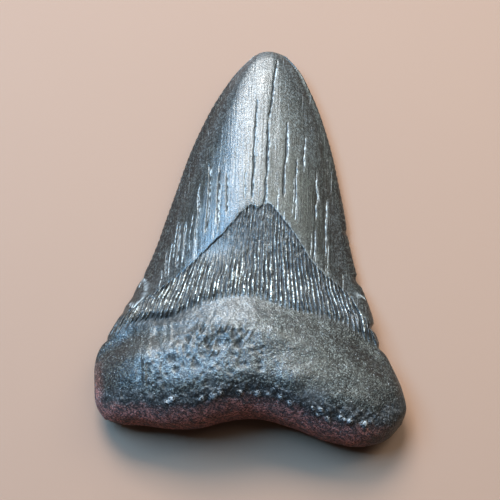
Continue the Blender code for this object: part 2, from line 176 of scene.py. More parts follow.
# The enamel's edge and the root line stray by this share of the length.
RAGGEDNESS = 0.003

# The middle (x, along) and the radii of the wrinkled band's smooth place beside its peak.
SMOOTH_PLACE = (-0.105, 0.535, 0.070, 0.042)

# Paler places, the worn tip, a painted highlight on the ledge under the root line and a pale patch low on
# the root's right: share, then the middle (x, along) and the two radii.
WORN_AND_HIGHLIGHT_PLACES = [
    (0.8, 0.01, 0.02, 0.10, 0.08), (0.7, -0.10, 0.695, 0.15, 0.025), (1.0, 0.20, 0.893, 0.045, 0.016),
]

WRINKLES, WRINKLE_HEIGHT = 55, 0.44 * MM
WRINKLE_WANDER, WRINKLE_PATCH, WRINKLE_UNEVENNESS = 1.9, 4.2 * MM, 0.5

SERRATION_PITCH, SERRATION_DEPTH = 2.0 * MM, 0.15 * MM
SERRATIONS_FROM, SERRATIONS_TO, SERRATIONS_FADE = 0.05, 0.70, 0.04
EDGE_BAND = 0.93
# Chips in the edges: side, place, reach along the edge and depth.
CHIPS = [
    (-1, 0.585, 0.010, 0.4 * MM), (-1, 0.635, 0.016, 0.4 * MM), (-1, 0.675, 0.008, 0.4 * MM),
    (1, 0.470, 0.010, 0.5 * MM), (1, 0.592, 0.012, 1.0 * MM), (1, 0.715, 0.010, 1.1 * MM),
    (1, 0.765, 0.010, 0.9 * MM), (-1, 0.745, 0.008, 0.6 * MM),
]
# Lumps: size, height and seed. Pits: how many, their radii and their depths.
LUMPS = [(7.0 * MM, 0.30 * MM, 11), (3.2 * MM, 0.14 * MM, 12)]
FINE_LUMPS = [(1.5 * MM, 0.06 * MM, 13), (0.8 * MM, 0.05 * MM, 14)]
PIT_PLACES = ((-0.32, 0.04), (0.735, 0.92))
PITS = (22, (0.5 * MM, 1.1 * MM), (0.2 * MM, 0.5 * MM))
SMALL_PITS = (90, (0.3 * MM, 0.7 * MM), (0.10 * MM, 0.30 * MM))
# Painted shade inside a root pit grows with its depth and is full at this depth.
DARK_PIT = 0.4 * MM  # a pit this deep is dark inside
PEBBLES, PEBBLE_LINE, PEBBLE_HEIGHT = 24, 0.948, 0.8 * MM
# Where the root's broken edge, with its band of painted shade, and its foot start and are complete, down
# the face.
BROKEN_EDGE, FOOT_TURN = (0.915, 0.932), (0.950, 0.985)
FOLDED_PLACE, FOLD_HEIGHT = (-0.10, 0.76, 0.10, 0.05), 0.40 * MM
GROOVED_PLACE, GROOVE_HEIGHT = (-0.30, 0.80, 0.07, 0.10), 0.40 * MM
PIT_ROW_RADII, PIT_ROW_DEPTH = (0.6 * MM / WIDTH, 1.3 * MM / LENGTH), 0.6 * MM
PIT_ROW = [
    (-0.152, 0.737), (-0.131, 0.751), (-0.113, 0.739), (-0.089, 0.750), (-0.073, 0.736), (-0.048, 0.751),
    (-0.026, 0.744), (-0.195, 0.762), (-0.203, 0.779), (-0.135, 0.768), (-0.128, 0.786), (-0.099, 0.771),
]


def smooth_curve(stations, at):
    """The smooth curve through (place, value) stations, read at the places given."""
    places, values = np.array(stations, float).T
    slopes = np.gradient(values, places)
    left = np.clip(np.searchsorted(places, at) - 1, 0, len(places) - 2)
    step = places[left + 1] - places[left]
    u = np.clip((at - places[left]) / step, 0, 1)
    return (
        values[left] * (1 + 2 * u) * (1 - u) ** 2
        + values[left + 1] * u**2 * (3 - 2 * u)
        + step * slopes[left] * u * (1 - u) ** 2
        - step * slopes[left + 1] * u**2 * (1 - u)
    )


def ramp(low, high, at):
    """Rises smoothly from 0 at low to 1 at high."""
    u = np.clip((at - low) / (high - low), 0, 1)
    return u * u * (3 - 2 * u)


def noise(x, y, size, seed):
    """A smooth random height from -1 to 1 over a plane, in patches of that size."""
    lattice = np.random.default_rng(seed).uniform(-1, 1, (64, 64))
    u, v = x / size, y / size
    i, j = np.floor(u).astype(int), np.floor(v).astype(int)
    u, v = ramp(0, 1, u - i), ramp(0, 1, v - j)
    i, j = i % 64, j % 64
    i_next, j_next = (i + 1) % 64, (j + 1) % 64
    low = lattice[i, j] * (1 - u) + lattice[i_next, j] * u
    high = lattice[i, j_next] * (1 - u) + lattice[i_next, j_next] * u
    return low * (1 - v) + high * v


def dome(across, powers):
    """A cross-section from 0 at the cutting edges to 1 in the middle."""
    spread, fullness = powers
    return np.clip(1 - np.abs(across) ** spread, 0, 1) ** fullness


def end_rounding(down):
    """From 0 at the very tip and at the foot to 1 between them, as the faces close over both ends."""
    tip = np.clip(1 - down / TIP_ROUNDING, 0, 1)
    foot = np.clip((down - SHOULDER) / (1 - SHOULDER), 0, 1)
    return np.sqrt(np.clip(1 - tip**2, 0, 1) * np.clip(1 - foot**SHOULDER_POWER, 0, 1))


def cutting_edges(down):
    """The places of the left and the right edge, as shares of the width."""
    left = smooth_curve(LEFT_SIDE, TIP[0][1] + (FOOT[0][1] - TIP[0][1]) * down)
    right = smooth_curve(RIGHT_SIDE, TIP[-1][1] + (FOOT[-1][1] - TIP[-1][1]) * down)
    return left, right


def outline_point(across, down):
    """The place of a grid point on the plan, as shares of the width and of the length."""
    left, right = cutting_edges(down)
    tip, foot = smooth_curve(TIP, across), smooth_curve(FOOT, across)
    return (left + right) / 2 + (right - left) / 2 * across, tip + (foot - tip) * down


def from_edge(across, down):
    """How far a grid point is from the nearer cutting edge, in metres."""
    left, right = cutting_edges(down)
    return (1 - np.abs(across)) * ((right - left) / 2 * WIDTH)


def flank_fall(across):
    """How far the crown's sides fall away from its middle in flat planes."""
    return sum(fall * np.clip(side * across - start, 0, None) for side, start, fall in FLANKS)


def lobe_sides(x, along, below_root_line):
    """How far the root falls away in the outer sides of its lobes."""
    fallen = np.zeros_like(x)
    for side, start, spread, reach, fall in LOBE_SIDES:
        fallen += fall * ramp(0, reach, side * x - start - spread * (along - LOBES_FROM))
    return fallen * ramp(0, LOBE_SIDES_FADE, below_root_line)


def crease_depth(x, below_root_line):
    """The crease above the root, deepest over the left lobe."""
    depth = ROOT_CREASE * np.exp(-((below_root_line / CREASE_REACH) ** 2))
    return depth * sum(share * np.exp(-(((x - place) / reach) ** 2)) for place, reach, share in CREASES)


def edge_wear(across, down, along):
    """How far the cutting edges are worn in: serrations and chips."""
    blade = ramp(SERRATIONS_FROM, SERRATIONS_FROM + SERRATIONS_FADE, along)
    blade = blade * ramp(SERRATIONS_TO, SERRATIONS_TO - SERRATIONS_FADE, along)
    scallop = 0.5 - 0.5 * np.cos(2 * np.pi * along * LENGTH / SERRATION_PITCH)
    unevenness = 0.7 + 0.5 * noise(along * LENGTH, across, 5 * MM, seed=21)
    wear = SERRATION_DEPTH * blade * scallop * unevenness
    for side, place, reach, depth in CHIPS:
        on_side = np.sign(across) == side
        wear = wear + on_side * depth * np.exp(-(((along - place) / reach) ** 2))
    return wear * ramp(EDGE_BAND, 1, np.abs(across))


def patch(x, along, x0, along0, x_radius, along_radius):
    """1 in the middle of a soft oval and 0 outside it."""
    return np.exp(-(((x - x0) / x_radius) ** 2) - ((along - along0) / along_radius) ** 2)


def forms(places, x, along):
    """The sum of soft mounds and hollows at a point of a face."""
    height = np.zeros_like(x)
    for *place, rise in places:
        height += rise * patch(x, along, *place)
    return height


def crack_depth(cracks, x, along):
    """The grooves of the enamel's cracks, each groove's core from 0 to 1, and a painted highlight along its
    broken rim on one side.
    """
    depth, core, rim = np.zeros_like(x), np.zeros_like(x), np.zeros_like(x)
    for x0, along0, x1, along1, reach, groove in cracks:
        share = (along - along0) / (along1 - along0)
        at = along * LENGTH, np.full_like(x, x0 * WIDTH)
        wander = CRACK_WANDER * noise(*at, 4 * MM, seed=31)
        jitter = CRACK_JITTER * noise(*at, 1.1 * MM, seed=32)
        aside = (x - (x0 + (x1 - x0) * share)) * WIDTH + wander + jitter
        taper = ramp(0, 0.2, share) * ramp(1, 0.9, share)
        width = CRACK_NARROWING * reach * (1 + 0.5 * noise(*at, 1.7 * MM, seed=33))
        profile = taper * np.exp(-((aside / width) ** 2))
        depth, core = np.maximum(depth, groove * profile), np.maximum(core, profile)
        # A painted highlight beside each crack's right side, broken into beads.
        lit_rim = taper * np.exp(-(((aside - 1.5 * width) / width) ** 2))
        rim = np.maximum(rim, lit_rim * ramp(-0.4, 0.3, noise(*at, 0.7 * MM, seed=34)))
    return depth, core, rim


def crack_highlights_and_pale_hairlines(crack_rim_highlight, fine_core):
    """Where cracks are painted pale: a painted highlight on the rims of the wide ones, and the hairlines'
    own pale colour.
    """
    return np.maximum(crack_rim_highlight, 0.8 * ramp(0.4, 0.8, fine_core))


def hairlines(seed):
    """Fine short cracks, most of them low on the crown."""
    scatter = np.random.default_rng(seed)
    cracks = []
    for _ in range(HAIRLINES):
        x0 = scatter.uniform(*HAIRLINES_ACROSS)
        start = scatter.uniform(*HAIRLINE_STARTS) + 0.9 * abs(x0)
        end = start + scatter.uniform(*HAIRLINE_LENGTHS)
        lean = (end - start) * (-0.07 + 0.25 * min(x0, 0))
        width, groove = scatter.uniform(0.26, 0.36) * MM, scatter.uniform(0.10, 0.20) * MM
        cracks.append((x0, start, x0 + lean, end, width, groove))
    return cracks


def near_line(points, x, along, reach):
    """1 on a chain of straight stretches, falling to 0 beside it."""
    nearest = np.full_like(x, np.inf)
    at = np.stack([x * WIDTH, along * LENGTH], -1)
    for start, end in zip(points[:-1], points[1:]):
        start, end = np.array(start) * (WIDTH, LENGTH), np.array(end) * (WIDTH, LENGTH)
        way = end - start
        share = np.clip((at - start) @ way / (way @ way), 0, 1)
        nearest = np.minimum(nearest, np.linalg.norm(at - start - share[..., None] * way, axis=-1))
    return np.exp(-((nearest / reach) ** 2))


def root_pits(pits, x, along, seed):
    """The root's vessel pits, scattered with a fixed seed."""
    count, radii, depths = pits
    scatter = np.random.default_rng(seed)
    depth = np.zeros_like(x)
    for _ in range(count):
        x0, along0 = (scatter.uniform(*reach) for reach in PIT_PLACES)
        radius, sunk = scatter.uniform(*radii), scatter.uniform(*depths)
        distance = np.hypot((x - x0) * WIDTH, (along - along0) * LENGTH)
        depth = np.maximum(depth, sunk * np.exp(-((distance / radius) ** 2)))
    return depth


def pit_row(x, along):
    """The row of deeper pits under the root's upper ledge."""
    depth = np.zeros_like(x)
    for x0, along0 in PIT_ROW:
        depth = np.maximum(depth, patch(x, along, x0, along0, *PIT_ROW_RADII))
    return PIT_ROW_DEPTH * depth * (0.7 + 0.6 * noise(x * WIDTH, along * LENGTH, 0.8 * MM, seed=55))


def lumps(sizes, x, along):
    """The root's uneven surface."""
    return sum(height * noise(x * WIDTH, along * LENGTH, size, seed) for size, height, seed in sizes)


def pebbles(x, along, down, seed):
    """The height of pale lumps along the edge where the root turns down into its foot, and their places."""
    scatter = np.random.default_rng(seed)
    height = np.zeros_like(x)
    for _ in range(PEBBLES):
        x0, offset = scatter.uniform(-0.26, 0.40), scatter.normal(0, 0.005)
        radius, rise = scatter.uniform(0.5, 1.0) * MM, scatter.uniform(0.3, 0.8)
        distance = np.hypot((x - x0) * WIDTH, (down - PEBBLE_LINE - 0.02 * x0 - offset) * LENGTH)
        height = np.maximum(height, rise * np.exp(-((distance / radius) ** 4)))
    return PEBBLE_HEIGHT * height, ramp(0.15, 0.5, height)


def enamel_edge(x, below_enamel):
    """The pale lip of the enamel to the right of its peak, and the shadow line under its whole edge."""
    lip, shadow = (
        np.exp(-(((below_enamel - place) / reach) ** 2)) for place, reach in (LIP_LINE, SHADOW_LINE)
    )
    return lip * ramp(*LIP_FROM, x) * ramp(*LIP_TO, x), shadow


def wrinkles(across, x, along):
    """The band's fanning ridges from 0 to 1, coarse and finer ones, and how high they are in each place."""
    at = x * WIDTH, along * LENGTH
    long_at = across * WIDTH / 2, along * LENGTH / 5
    phase = WRINKLES * np.pi * across + WRINKLE_WANDER * noise(*at, WRINKLE_PATCH, seed=41)
    phase = phase + 1.1 * noise(*long_at, 1.1 * MM, seed=44)
    evenness = 1 + WRINKLE_UNEVENNESS * noise(*at, WRINKLE_PATCH, seed=42)
    evenness = evenness + 0.5 * noise(*long_at, 1.2 * MM, seed=48)
    coarse = (0.5 + 0.5 * np.cos(phase)) ** 1.3
    finer = (0.5 + 0.5 * np.cos(2 * phase + 1.3)) ** 1.5 * (0.6 + 0.6 * noise(*long_at, 1.3 * MM, seed=49))
    return coarse, finer, evenness


def wrinkled_band(across, x, along, bourlette, smooth_place):
    """The relief of the band between enamel and root, and its marks: a painted highlight on the ridges'
    crests and painted shade in their valleys.
    """
    coarse, finer, evenness = wrinkles(across, x, along)
    apex = 1 - ramp(0.50, 0.58, along - 0.1 * np.abs(x))
    low_band = (1 - 0.5 * apex) * (1 - smooth_place)
    relief = WRINKLE_HEIGHT * bourlette * low_band * evenness * (1.7 * coarse + 0.7 * finer - 0.7)
    ripples = noise(across * WIDTH / 2, along * LENGTH / 2, 0.7 * MM, seed=45)
    relief = relief + (0.10 + 0.10 * apex) * (1 - smooth_place) * MM * bourlette * ripples
    # How much of the crests' painted highlight shows in each place.
    crest_highlight_share = low_band**2 * (1 - 0.4 * ramp(0.12, 0.28, x)) * (1 - 0.6 * ramp(0.24, 0.36, -x))
    marks = {
        "crest": bourlette * crest_highlight_share * ramp(0.50, 1.10, np.maximum(coarse, 0.8 * finer) * evenness),
        "valley": bourlette * ramp(0.30, 0.08, np.maximum(coarse, 0.7 * finer)),
    }
    return relief, marks


def lingual_bone(x, along, below_root_line):
    """The relief of the domed face's root, and the depth of its pits."""
    pits = root_pits(PITS, x, along, seed=51)
    small_pits = np.maximum(root_pits(SMALL_PITS, x, along, seed=53), pit_row(x, along))
    slanted_at = x * WIDTH + 0.45 * along * LENGTH, along * LENGTH / 2.5
    folded = FOLD_HEIGHT * patch(x, along, *FOLDED_PLACE) * noise(*slanted_at, 0.9 * MM, seed=46)
    long_at = x * WIDTH, along * LENGTH / 6
    grooves = GROOVE_HEIGHT * patch(x, along, *GROOVED_PLACE) * noise(*long_at, 1.0 * MM, seed=47)
    bone = lumps(LUMPS, x, along) + lumps(FINE_LUMPS, x, along) - pits - small_pits + folded + grooves
    return bone - lobe_sides(x, along, below_root_line), pits + small_pits


def broken_edge(x, along, down, root):
    """The band of painted shade along the root's broken edge and, under it, the turn to the foot, from 0 to
    1, and the edge's rubble.
    """
    at = x * WIDTH, along * LENGTH
    wobble = 0.008 * noise(*at, 4 * MM, seed=71) + 0.006 * noise(*at, 1.2 * MM, seed=72)
    foot_turn = ramp(*FOOT_TURN, down + 0.7 * wobble)
    shoulder = root * ramp(*BROKEN_EDGE, down + wobble) * (1 - 0.8 * foot_turn)
    crumbled = 0.30 * MM * noise(*at, 1.5 * MM, seed=73) + 0.18 * MM * noise(*at, 0.7 * MM, seed=74)
    return shoulder, foot_turn, shoulder * crumbled


def red_brown_places(across, along, root, foot_turn):
    """Where the root is red-brown: its foot, but for the right end, and its left side."""
    left_side = 0.6 * ramp(0.91, 0.99, -across) * ramp(0.78, 0.90, along)
    return root * np.maximum(foot_turn * ramp(0.95, 0.6, across), left_side)


def rim_shade(across, down, along, root):
    """Painted shade on the rims inside the cutting edges, and on the outer sides of the root."""
    inward = from_edge(across, down)
    left_rim_shade = ramp(*LEFT_RIM_SHADE, inward) * (across < 0)
    right_rim_shade = ramp(*RIGHT_RIM_SHADE, inward) * (across > 0) * ramp(0.25, 0.40, along)
    return (left_rim_shade + right_rim_shade) * (1 - root) + root * ramp(0.60, 0.88, np.abs(across))


def lingual_face(across, down, x, along):
    """The height of the domed face, and its marks for the material."""
    to_root = ramp(ROOT_FROM, ROOT_TO, down)
    section = dome(across, CROWN_DOME) * (1 - to_root) + dome(across, ROOT_DOME) * to_root
    outline = smooth_curve(OUTLINE_HEIGHT, down)
    body = smooth_curve(MIDDLE_HEIGHT, down) - outline

    ragged = RAGGEDNESS * noise(x * WIDTH, along * LENGTH, 1.6 * MM, seed=43)
    below_enamel = along - smooth_curve(ENAMEL_LINE, x) + ragged
    below_root_line = along - smooth_curve(ROOT_LINE, x) + ragged
    enamel = ramp(ENAMEL_EDGE, -ENAMEL_EDGE, below_enamel)
    root = ramp(*ROOT_FADE, below_root_line)
    bourlette = (1 - enamel) * (1 - root)
    smooth_place = patch(x, along, *SMOOTH_PLACE)

    swell = ROOT_SWELL * ramp(0, ROOT_SWELL_REACH, below_root_line)
    crease = crease_depth(x, below_root_line)
    band, band_marks = wrinkled_band(across, x, along, bourlette, smooth_place)
    bone, pitted = lingual_bone(x, along, below_root_line)
    shoulder, foot_turn, rubble = broken_edge(x, along, down, root)
    pebble, chalky = pebbles(x, along, down, seed=75)
    bone = root * (bone + pebble + rubble)

    cracks, core, crack_rim_highlight = crack_depth(LINGUAL_CRACKS, x, along)
    fine_cracks, fine_core, _ = crack_depth(hairlines(61), x, along)
    relief = swell - crease + enamel * (ENAMEL_STEP - np.maximum(cracks, fine_cracks))
    relief = relief + band + bone + forms(LINGUAL_FORMS, x, along) - (1 - to_root) * flank_fall(across)
    inside = section * end_rounding(down)
    height = outline + body * inside + relief * ramp(0, DETAIL_FROM_EDGE, inside)

    lip, shadow = enamel_edge(x, below_enamel)
    edge_cracks = sum(near_line(points, x, along, EDGE_CRACK_REACH) for points in EDGE_CRACKS)
    marks = {
        "enamel": np.maximum(enamel, 0.9 * smooth_place * bourlette),
        "root": root,
        # Pale cracks: a painted highlight on the wide cracks' rims, the hairlines' own pale colour, and the
        # pale lip along the enamel's edge.
        "crack": np.maximum(enamel * crack_highlights_and_pale_hairlines(crack_rim_highlight, fine_core), 0.6 * lip),
        "scar": ramp(0.4, 1.0, edge_cracks) * (1 - root),
        # Painted shade in the root's pits, in the crease above the root and in crack cores, and a painted
        # shadow line under the enamel's edge.
        "sunk": np.clip(
            root * pitted / DARK_PIT + 1.2 * crease / ROOT_CREASE * (1 - enamel)
            + enamel * ramp(*DARK_CORE, core) + 0.8 * shadow * (1 - 0.7 * smooth_place), 0, 1
        ),
        "stain": red_brown_places(across, along, root, foot_turn),
        # A band of painted shade along the root's broken edge, where the face turns down to the foot.
        "shoulder": shoulder,
        # Paler places: the worn tip, a painted highlight on the ledge under the root line, and a pale
        # patch.
        "worn": sum(share * patch(x, along, *place) for share, *place in WORN_AND_HIGHLIGHT_PLACES),
        "chalk": root * chalky,
        # Painted shade on the rims by the cutting edges and on the root's outer sides.
        "rim": rim_shade(across, down, along, root),
    }
    return height, marks | band_marks


def labial_face(across, down, x, along):
    """The height of the flat face above the floor, and its marks for the material."""
    to_root = ramp(ROOT_FROM, ROOT_TO, down)
    section = dome(across, LABIAL_CROWN_DOME) * (1 - to_root) + dome(across, LABIAL_ROOT_DOME) * to_root
    inside = section * end_rounding(down)
    root = ramp(-ENAMEL_EDGE, ENAMEL_EDGE, along - smooth_curve(LABIAL_ENAMEL_LINE, x))
    pits = root_pits(PITS, x, along, seed=52)
    small_pits = root_pits(SMALL_PITS, x, along, seed=54)
    bone = pits + small_pits + lumps(LUMPS, x, along) / 2 + lumps(FINE_LUMPS, x, along)
    cracks, core, crack_rim_highlight = crack_depth(LABIAL_CRACKS, x, along)
    fine_cracks, fine_core, _ = crack_depth(hairlines(62), x, along)
    enamel = np.maximum(cracks, fine_cracks) - ENAMEL_STEP
    relief = ENAMEL_STEP + root * bone + (1 - root) * enamel + forms(LABIAL_FORMS, x, along) - WORN_FLAT
    height = smooth_curve(OUTLINE_HEIGHT, down) * (1 - inside) + relief * ramp(0, DETAIL_FROM_EDGE, inside)
    # Painted shade in the root's pits and in crack cores.
    sunk = root * (pits + small_pits) / DARK_PIT + (1 - root) * ramp(*DARK_CORE, core)
    marks = {
        "enamel": 1 - root,
        "root": root,
        # Pale cracks: a painted highlight on the wide cracks' rims, and the hairlines' own pale colour.
        "crack": (1 - root) * crack_highlights_and_pale_hairlines(crack_rim_highlight, fine_core),
        "sunk": np.clip(sunk, 0, 1),
        "stain": root * ramp(0.90, 0.97, down),
        # Painted shade on the rims by the cutting edges.
        "rim": ramp(*RIGHT_RIM_SHADE, from_edge(across, down)) * (1 - root),
    }
    return np.maximum(height, 0), marks


def tooth_mesh():
    """Both faces on one closed mesh, fitted to the CAD solid's box, with the marks as attributes."""
    # Columns crowd towards the cutting edges, and rows towards both ends.
    spread, place = np.meshgrid(np.linspace(-1, 1, COLUMNS + 1), np.linspace(0, 1, ROWS + 1))
    across = (1.3 * spread - 0.3 * spread**3).ravel()
    down = (0.5 * place + 0.5 * ramp(0, 1, place)).ravel()
    x, along = outline_point(across, down)
    sideways = x * WIDTH - np.sign(across) * edge_wear(across, down, along)

    points, marks = [], []
    for face in (lingual_face, labial_face):
        height, face_marks = face(across, down, x, along)
        points.append(np.column_stack([sideways, (0.5 - along) * LENGTH, height]))
        marks.append(face_marks)

    # Both faces share the points of the outline.
    count = (ROWS + 1) * (COLUMNS + 1)
    index = np.arange(count).reshape(ROWS + 1, COLUMNS + 1)
    quads = np.stack([index[:-1, :-1], index[1:, :-1], index[1:, 1:], index[:-1, 1:]], -1).reshape(-1, 4)
    inner = np.zeros((ROWS + 1, COLUMNS + 1), bool)
    inner[1:-1, 1:-1] = True
    inner = inner.ravel()
    under = np.arange(count)
    under[inner] = count + np.arange(inner.sum())
    all_points = np.concatenate([points[0], points[1][inner]])
    all_quads = np.concatenate([quads, under[quads][:, ::-1]])

    low, high = all_points.min(0), all_points.max(0)
    all_points = (all_points - low) / (high - low) * (HIGH - LOW) + LOW

    mesh = bpy.data.meshes.new("tooth_fine")
    mesh.from_pydata(all_points, [], all_quads)
    nothing = np.zeros_like(x)
    for name in MARKS:
        values = np.concatenate([marks[0][name], marks[1].get(name, nothing)[inner]])
        attribute = mesh.attributes.new(name, "FLOAT", "POINT")
        attribute.data.foreach_set("value", values.astype(np.float32))
    fan = np.column_stack([across * WIDTH / 2, along * LENGTH, np.zeros_like(along)])
    fan = np.concatenate([fan, fan[inner] + (0, 0, FACES_APART)])
    attribute = mesh.attributes.new("fan", "FLOAT_VECTOR", "POINT")
    attribute.data.foreach_set("vector", fan.astype(np.float32).ravel())
    return mesh


def thinned(mesh):
    """The mesh with triangles only where the form needs them, kept inside the CAD solid's box."""
    whole = bpy.data.objects.new("tooth_whole", mesh)
    bpy.context.scene.collection.objects.link(whole)
    modifier = whole.modifiers.new("thin", "DECIMATE")
    modifier.ratio = min(1, TRIANGLES / (2 * len(mesh.polygons)))
    ready = whole.evaluated_get(bpy.context.evaluated_depsgraph_get())
    result = bpy.data.meshes.new_from_object(ready)
    bpy.data.objects.remove(whole)
    bpy.data.meshes.remove(mesh)
    points = np.empty(3 * len(result.vertices), np.float32)
    result.vertices.foreach_get("co", points)
    points = np.clip(points.reshape(-1, 3), LOW, HIGH)
    result.vertices.foreach_set("co", points.astype(np.float32).ravel())
    result.update()
    result.shade_smooth()
    return result


class Nodes:
    """A material's node tree, with short calls for the nodes used here."""

    def __init__(self, material):
        material.use_nodes = True
        self.tree = material.node_tree
        self.shader = self.tree.nodes["Principled BSDF"]

    def put(self, socket, value):
        if isinstance(value, bpy.types.NodeSocket):
            self.tree.links.new(value, socket)
        else:
            socket.default_value = value

    def new(self, kind, **settings):
        node = self.tree.nodes.new(kind)
        for name, value in settings.items():
            setattr(node, name, value)
        return node

    def mark(self, name):
        return self.new("ShaderNodeAttribute", attribute_name=name).outputs["Fac"]

    def math(self, operation, a, b=0.0):
        node = self.new("ShaderNodeMath", operation=operation)
        self.put(node.inputs[0], a)
        self.put(node.inputs[1], b)
        return node.outputs[0]

    def times(self, first, *others):
        for other in others:
            first = self.math("MULTIPLY", first, other)
        return first

    def plus(self, first, *others):
        for other in others:
            first = self.math("ADD", first, other)
        return first

    def mix(self, share, a, b, blend="MIX"):
        node = self.new("ShaderNodeMix", data_type="RGBA", blend_type=blend)
        self.put(node.inputs["Factor"], share)
        self.put(node.inputs[6], a)
        self.put(node.inputs[7], b)
        return node.outputs[2]

    def stretch(self, low, high, value, to_low=0.0, to_high=1.0):
        node = self.new("ShaderNodeMapRange", interpolation_type="SMOOTHSTEP")
        for place, number in enumerate((value, low, high, to_low, to_high)):
            self.put(node.inputs[place], number)
        return node.outputs[0]

    def place(self, size, fan=False, turn=0.0):
        """Places on the tooth, one unit for so many (x, y, z) millimetres. A fan spreads with the sides."""
        if fan:
            at = self.new("ShaderNodeAttribute", attribute_name="fan").outputs["Vector"]
        else:
            at = self.new("ShaderNodeTexCoord").outputs["Object"]
        node = self.new("ShaderNodeMapping", vector_type="TEXTURE")
        self.put(node.inputs["Vector"], at)
        node.inputs["Rotation"].default_value = (0, 0, turn)
        node.inputs["Scale"].default_value = [mm * MM for mm in size]
        return node.outputs[0]

    def noise(self, size, detail=3.0, rough=0.55, fan=False, turn=0.0):
        """Noise in patches of (x, y, z) millimetres."""
        node = self.new("ShaderNodeTexNoise")
        self.put(node.inputs["Vector"], self.place(size, fan, turn))
        node.inputs["Scale"].default_value = 1.0
        node.inputs["Detail"].default_value = detail
        node.inputs["Roughness"].default_value = rough
        return node.outputs["Fac"]

    def grains(self, size):
        """A random value from 0 to 1 in each grain of that many millimetres."""
        node = self.new("ShaderNodeTexVoronoi")
        self.put(node.inputs["Vector"], self.place((size, size, size)))
        node.inputs["Scale"].default_value = 1.0
        parts = self.new("ShaderNodeSeparateColor")
        self.put(parts.inputs["Color"], node.outputs["Color"])
        return parts.outputs["Red"]

    def bump(self, height, distance, below=None):
        node = self.new("ShaderNodeBump")
        node.inputs["Strength"].default_value = 1.0
        node.inputs["Distance"].default_value = distance
        self.put(node.inputs["Height"], height)
        if below is not None:
            self.put(node.inputs["Normal"], below)
        return node.outputs[0]


def grey(level, red=1.0, green=1.0, blue=1.0):
    return (level * red, level * green, level * blue, 1.0)


# Colours of the fossil, some as pairs that a pattern mixes.
CROWN_TONES = grey(0.007, 0.98, 1.04, 0.84), grey(0.014, 0.90, 1.00, 1.00)
BAND_TONES = grey(0.005, 0.98, 1.0, 0.95), grey(0.010, 0.96, 1.0, 0.98)
ROOT_TONES = grey(0.008, 0.97, 1.01, 0.90), grey(0.014, 0.95, 1.01, 0.94)
# Painted shade for the rims by the cutting edges and the root's outer sides.
RIM_SHADE_TONES = grey(0.001), grey(0.026, 0.97, 1.02, 0.88)
# Painted shade for the band along the root's broken edge: near-black with pale grains.
SHOULDER_SHADE_TONES = grey(0.001), grey(0.045)
FOOT_TONES = grey(0.215, 1.0, 0.29, 0.22), grey(0.110, 1.0, 0.42, 0.34)
# Pale tones for the worn tip, the ledge's painted highlight and a pale patch.
WORN_AND_HIGHLIGHT_TONES = grey(0.045), grey(0.11)
# A painted highlight for the band's crests and painted shade for its valleys; the streaks are the enamel's
# own.
STREAK_TONE, CREST_HIGHLIGHT_TONE, VALLEY_SHADE_TONE = grey(0.045, 0.94, 1.0, 1.0), grey(0.24, 1.0, 1.0, 0.93), grey(0.002)
FOOT_CREASE_TONE, CHALK_TONE, STAR_TONE = grey(0.02, 1.0, 0.8, 0.8), grey(0.17), grey(0.20)
# Painted shade for sunk places, and pale cracks with a painted highlight on their rims.
SUNK_SHADE_TONE, CRACK_PALE_AND_HIGHLIGHT_TONE = grey(0.004), grey(0.32, 0.98, 1.0, 0.97)
SCAR_TONE = grey(0.34, 0.97, 1.0, 0.98)
FLOOR_TONES = grey(0.136, 1.0, 0.55, 0.34), grey(0.141, 1.0, 0.55, 0.34)
SAND_SIZE = 0.36  # millimetres
FLOOR_HALF_WIDTH = 2.0


def fossil_patterns(n):
    """The marks on the mesh and the patterns that colour, gloss and relief share."""
    m = SimpleNamespace(**{name: n.mark(name) for name in MARKS})
    m.sand = n.grains(SAND_SIZE)
    m.streaks = n.stretch(0.40, 0.70, n.noise((0.6, 16, 4), detail=3, turn=LEAN))
    lined = n.stretch(0.42, 0.58, n.noise((7, 16, 7), detail=2))
    hair = n.stretch(0.665, 0.70, n.noise((0.42, 30, 4), detail=1.5, turn=LEAN))
    m.hair = n.times(hair, lined, m.enamel)
    broken = n.stretch(0.40, 0.52, n.noise((0.5, 1.1, 0.5), detail=3))
    # Pale hairlines, and a painted highlight on the wide cracks' rims.
    m.cracked = n.times(n.math("MAXIMUM", n.times(m.crack, broken), n.times(m.hair, 0.2)), m.enamel)
    return m


def foot_colour(n, dusted):
    """Red-brown, dusty and creased."""
    colour = n.mix(n.noise((2.2, 0.8, 1.2), turn=0.6), *FOOT_TONES)
    colour = n.mix(1.0, colour, dusted, "MULTIPLY")
    creased = n.stretch(0.48, 0.64, n.noise((4.0, 0.8, 2.0), detail=4, turn=-0.6))
    return n.mix(n.times(creased, 0.7), colour, FOOT_CREASE_TONE)


